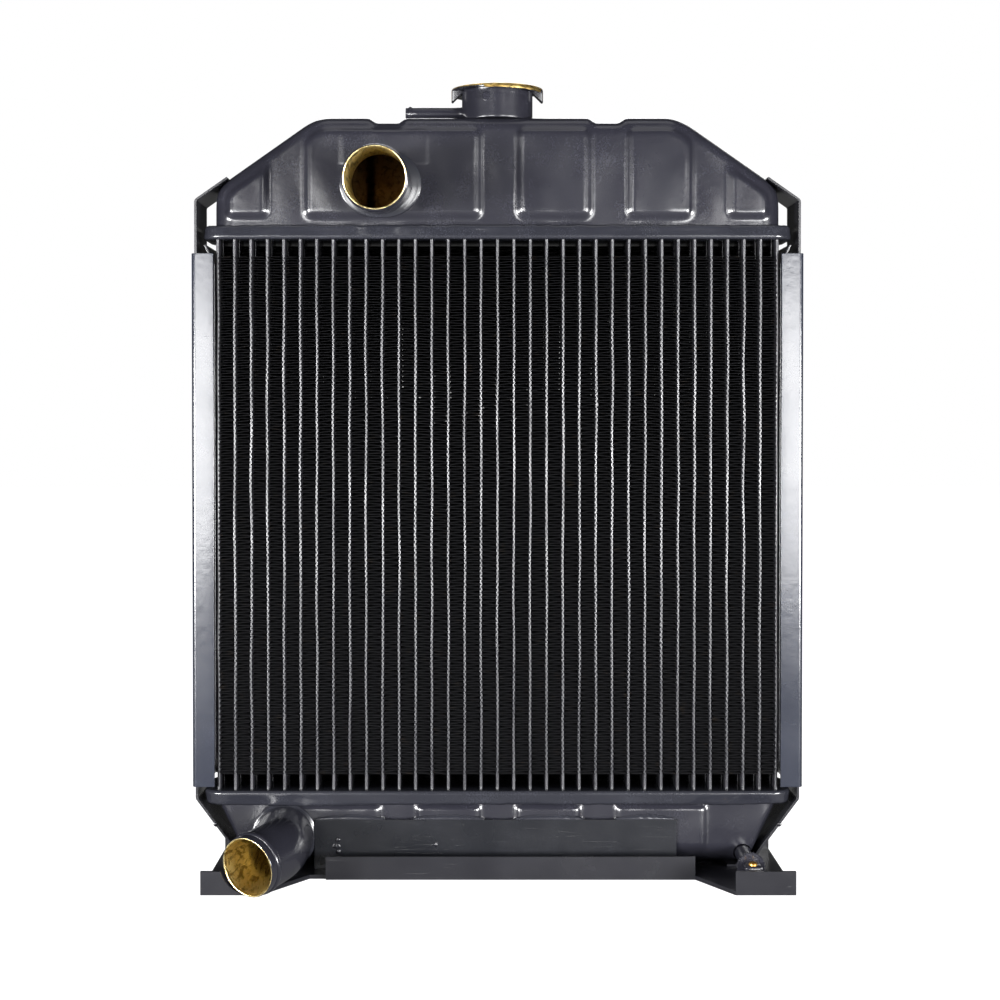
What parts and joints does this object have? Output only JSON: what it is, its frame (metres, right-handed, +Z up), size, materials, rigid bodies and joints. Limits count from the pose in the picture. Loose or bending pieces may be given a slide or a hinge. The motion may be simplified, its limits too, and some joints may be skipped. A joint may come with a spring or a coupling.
{
  "type": "car radiator",
  "caption": "Upright down-flow radiator with pressed brass tanks, tube-and-fin core, hose necks, open filler neck, side straps and a footed steel tray.",
  "frame": {"origin": "centre of the underside of the support tray, on the plane that the part stands on; X is zero in the middle of the core and Y is zero in its mid-plane", "axes": "+Z up, -Y towards the side with the hose necks, +X to the right of someone who faces that side"},
  "size_m": [0.3786, 0.1302, 0.488],
  "materials": {
    "black_paint": "semi-gloss",
    "seam_paint": "semi-gloss over solder",
    "plate_paint": "gloss",
    "tube_paint": "semi-gloss",
    "fin_paint": "matt",
    "brass": "drawn, bare",
    "fibre": "matt"
  },
  "bodies": {
    "root": {"upper_tank": "black_paint", "lower_tank": "black_paint", "upper_header": "seam_paint", "lower_header": "seam_paint", "front_tubes": "tube_paint", "rear_tubes": "tube_paint", "fin_strips": "fin_paint", "left_side_channel": "black_paint", "right_side_channel": "black_paint", "left_side_plate": "plate_paint", "right_side_plate": "plate_paint", "left_strap": "black_paint", "right_strap": "black_paint", "inlet_pipe": "black_paint", "inlet_collar": "black_paint", "outlet_pipe": "black_paint", "outlet_collar": "black_paint", "filler_neck": "black_paint", "cam_flange": "brass", "overflow_tube": "black_paint", "support_tray": "black_paint", "front_plate": "black_paint", "drain_boss": "black_paint"},
    "drain_seal": {"drain_washer": "fibre"},
    "drain_screw": {"drain_tap": "brass"}
  },
  "joints": [
    {"name": "drain_slide", "type": "slide", "parent": "root", "child": "drain_seal", "axis": [0, -1, 0], "range_m": [0, 0.00451]},
    {"name": "drain_turn", "type": "hinge", "parent": "drain_seal", "child": "drain_screw", "pos_m": [0.1525, -0.0575, 0.0114], "axis": [0, -1, 0], "range_deg": [0, 1080]}
  ],
  "couplings": [
    {"joint": "drain_slide", "follows": "drain_turn", "m_per_rad": 0.00023873}
  ]
}
